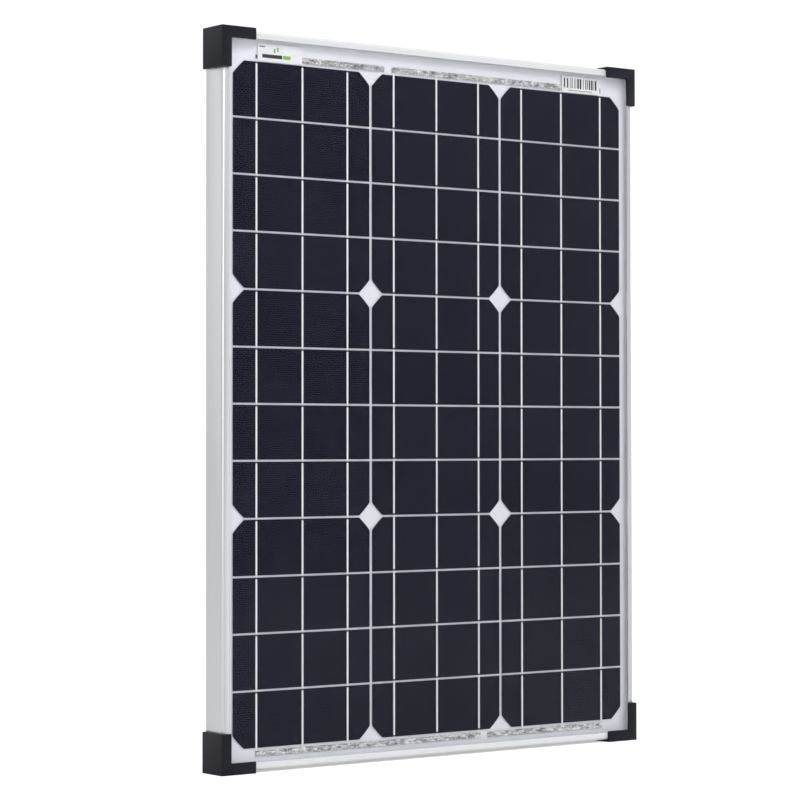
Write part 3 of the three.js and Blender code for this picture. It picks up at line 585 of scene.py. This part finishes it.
def bus_ribbon(name, crumple, seed):
    """A soldered bus ribbon: flat strip with small creases and kinks along it."""
    low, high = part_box(name)
    draw = random.Random(seed)
    steps = round((high.x - low.x) / CREASE_STEP)
    sections = []
    for i in range(steps + 1):
        x = low.x + (high.x - low.x) * i / steps
        front = []
        for j in range(CREASE_POINTS):
            z = low.z + (high.z - low.z) * j / (CREASE_POINTS - 1)
            shift = 0 if i in (0, steps) else draw.uniform(-CREASE_SHIFT, CREASE_SHIFT)
            front.append((x + shift, low.y + draw.uniform(0, crumple), z))
        back = [(x, high.y, high.z), (x, high.y, low.z)]
        sections.append([*front, *back])
    builder = Builder()
    builder.sweep(sections)
    builder.piece(f"{name}_creased", "bus", "tinned_ribbon", (name,))


for number, (name, crumple) in enumerate(
    {
        "bus_ribbon_top_left": 0.16 * MM,
        "bus_ribbon_top_right": 0.16 * MM,
        "bus_ribbon_bottom_left": 0.24 * MM,
        "bus_ribbon_bottom_right": 0.24 * MM,
    }.items()
):
    bus_ribbon(name, crumple, CREASE_SEED + number)

refinish("tab", "lead_ribbon_positive", "lead_ribbon_middle", "lead_ribbon_negative")

# ---------------------------------------------------------------- laminate and labels

refinish("glass", "front_glass")
refinish("encapsulant", "front_encapsulant", "rear_encapsulant")
refinish("backsheet", "backsheet")
refinish("sealant", "edge_sealant")
refinish("label", "front_label", "bar_label", "rating_label")

PRINT = 0.02 * MM


def print_on(label, name, finish, marks, face="front"):
    """Flat printed shapes on a label, each as shares of its width and height from lower left."""
    low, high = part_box(label)
    y = low.y if face == "front" else high.y
    size = high - low
    builder = Builder()
    for x0, x1, z0, z1 in marks:
        builder.bar(
            low.x + x0 * size.x, low.x + x1 * size.x, y - PRINT, y + PRINT,
            low.z + z0 * size.z, low.z + z1 * size.z,
        )
    builder.piece(name, finish, "label")


def bar_marks(seed):
    """A row of upright bars of mixed widths, which say nothing."""
    draw = random.Random(seed)
    marks = []
    at = 0.05
    while at < 0.88:
        width = draw.choice((0.014, 0.022, 0.036, 0.044))
        marks.append((at, at + width, 0.28, 0.86))
        at += width + draw.choice((0.022, 0.030, 0.046))
    return marks


print_on("bar_label", "bar_label_bars", "dark_print", bar_marks(5))
print_on("bar_label", "bar_label_line", "grey_print", [(0.18, 0.80, 0.12, 0.17)])
print_on(
    "front_label", "front_label_bar", "dark_print",
    [(0.10, 0.55, 0.22, 0.42), (0.03, 0.16, 0.80, 0.85)],
)
print_on(
    "front_label", "front_label_blocks", "green_print",
    [(0.57, 0.74, 0.22, 0.42), (0.36, 0.40, 0.52, 0.76), (0.43, 0.47, 0.60, 0.84)],
)


def rating_marks():
    """Plain ruled lines for rows of data, with short bars for their names and values."""
    marks = [(0.05, 0.45, 0.86, 0.93)]
    for row in range(8):
        z = 0.10 + row * 0.09
        marks.append((0.05, 0.95, z, z + 0.008))
        marks.append((0.06, 0.24 + 0.05 * (row % 3), z + 0.028, z + 0.055))
        marks.append((0.62, 0.74 + 0.04 * (row % 2), z + 0.028, z + 0.055))
    return marks


print_on("rating_label", "rating_label_rows", "dark_print", rating_marks(), face="back")

# ---------------------------------------------------------------- frame

for side, finish in {
    "left": "rail_upright",
    "right": "rail_upright",
    "top": "rail_level",
    "bottom": "rail_level",
}.items():
    refined(f"frame_rail_{side}", f"rail_{side}", finish, 0.18 * MM)

for corner in ("top_left", "top_right", "bottom_left", "bottom_right"):
    refinish("key", f"corner_key_{corner}")
    refined(
        f"corner_protector_{corner}", f"protector_{corner}", "protector",
        0.7 * MM, segments=3,
    )

# ---------------------------------------------------------------- junction box

refined("junction_box_base", "box_tray", "box", 0.25 * MM)
refined("junction_box_lid", "box_cover", "box", 0.3 * MM, body="lid")
for side in ("left", "right"):
    refined(f"cable_gland_{side}", f"gland_{side}", "gland", 0.12 * MM)
    refined(
        f"gland_nut_{side}", f"dome_nut_{side}", "gland", 0.25 * MM,
        body=f"{side}_nut",
    )
    refinish("rubber", f"gland_seal_{side}")
refinish("rubber", "junction_box_seal")
refinish("pad", "junction_box_pad")
refinish("steel", "lid_hinge_pin")
for name in ("positive", "middle", "negative"):
    refinish("steel", f"clamp_screw_{name}")
    refinish("brass", f"terminal_{name}")
refinish("diode", "bypass_diode_1", "bypass_diode_2")

# ---------------------------------------------------------------- studio

scene = bpy.context.scene
scene.view_settings.view_transform = "Standard"
scene.cycles.transparent_max_bounces = 32

FLOOR_SIZE = 16
FLOOR_LIFT = 0.42
HORIZON, ZENITH, BACKDROP = 0.60, 0.80, 1.05


def studio_world():
    """Even soft light, a little stronger from above, in front of plain white."""
    world = bpy.data.worlds.new("studio")
    scene.world = world
    world.use_nodes = True
    tree = world.node_tree
    tree.nodes.clear()
    place = node(tree, "ShaderNodeTexCoord")
    parts = node(tree, "ShaderNodeSeparateXYZ")
    rise = node(
        tree,
        "ShaderNodeMapRange",
        {"From Min": 0.02, "From Max": 0.45, "To Min": HORIZON, "To Max": ZENITH},
    )
    soft = node(tree, "ShaderNodeBackground", {"Color": (0.985, 0.99, 1.0, 1)})
    plain = node(tree, "ShaderNodeBackground", {"Color": (1, 1, 1, 1), "Strength": BACKDROP})
    path = node(tree, "ShaderNodeLightPath")
    chosen = node(tree, "ShaderNodeMixShader")
    output = node(tree, "ShaderNodeOutputWorld")
    tree.links.new(place.outputs["Generated"], parts.inputs[0])
    tree.links.new(parts.outputs["Z"], rise.inputs["Value"])
    tree.links.new(rise.outputs["Result"], soft.inputs["Strength"])
    tree.links.new(path.outputs["Is Camera Ray"], chosen.inputs[0])
    tree.links.new(soft.outputs[0], chosen.inputs[1])
    tree.links.new(plain.outputs[0], chosen.inputs[2])
    tree.links.new(chosen.outputs[0], output.inputs["Surface"])


def pale_floor():
    """A plain pale floor, bright enough to run into the white behind it."""
    material, tree, output = blank_material("pale_floor")
    matt = node(tree, "ShaderNodeBsdfDiffuse", {"Color": (0.80, 0.80, 0.80, 1)})
    path = node(tree, "ShaderNodeLightPath")
    strength = ranged(tree, path.outputs["Is Camera Ray"], 0.0, FLOOR_LIFT)
    lift = node(tree, "ShaderNodeEmission")
    tree.links.new(strength, lift.inputs["Strength"])
    both = node(tree, "ShaderNodeAddShader")
    tree.links.new(matt.outputs[0], both.inputs[0])
    tree.links.new(lift.outputs[0], both.inputs[1])
    tree.links.new(both.outputs[0], output.inputs["Surface"])
    half = FLOOR_SIZE / 2
    data = bpy.data.meshes.new("floor")
    corners = [(-half, -half, 0), (half, -half, 0), (half, half, 0), (-half, half, 0)]
    data.from_pydata(corners, [], [(0, 1, 2, 3)])
    data.materials.append(material)
    floor = bpy.data.objects.new("floor", data)
    scene.collection.objects.link(floor)


def softbox(name, azimuth, height, distance, width, length, radiance, card=False):
    """A large soft light that faces the middle of the panel; azimuth is from -Y towards +X.

    A card is only seen in shiny surfaces and throws no light on matt ones.
    """
    light = bpy.data.lights.new(name, "AREA")
    light.shape = "RECTANGLE"
    light.size = width
    light.size_y = length
    light.energy = radiance * math.pi * width * length
    lamp = bpy.data.objects.new(name, light)
    lamp.visible_camera = False
    lamp.visible_diffuse = not card
    turn = math.radians(azimuth)
    lamp.location = (distance * math.sin(turn), -distance * math.cos(turn), height)
    aim = Vector((0, 0, MATRIX_Z)) - lamp.location
    lamp.rotation_euler = aim.to_track_quat("-Z", "Y").to_euler()
    scene.collection.objects.link(lamp)


studio_world()
pale_floor()
softbox("right_card", 70, 0.8, 3.0, 1.6, 2.2, 1.8, card=True)
softbox("rear_card", -147, 0.8, 3.0, 2.2, 2.2, 0.35, card=True)
softbox("left_softbox", -50, 0.8, 3.0, 1.4, 2.2, 2.0)
softbox("high_softbox", -12, 3.0, 2.0, 2.4, 1.6, 4.4)

# ---------------------------------------------------------------- camera

CAMERA_PLACE = (-1.6175, -2.0939, 0.3022)
CAMERA_YAW = 37.04
CAMERA_PITCH = 1.23
CAMERA_ROLL = 0.05
LENS = 122.3
SHIFT_Y = -0.0176

camera_data = bpy.data.cameras.new("camera")
camera_data.sensor_width = 36
camera_data.lens = LENS
camera_data.shift_y = SHIFT_Y
camera_data.clip_start = 0.05
camera_data.clip_end = 60
camera = bpy.data.objects.new("camera", camera_data)
camera.location = CAMERA_PLACE
camera.rotation_euler = Euler(
    (math.radians(90 + CAMERA_PITCH), math.radians(CAMERA_ROLL), math.radians(-CAMERA_YAW))
)
scene.collection.objects.link(camera)
scene.camera = camera
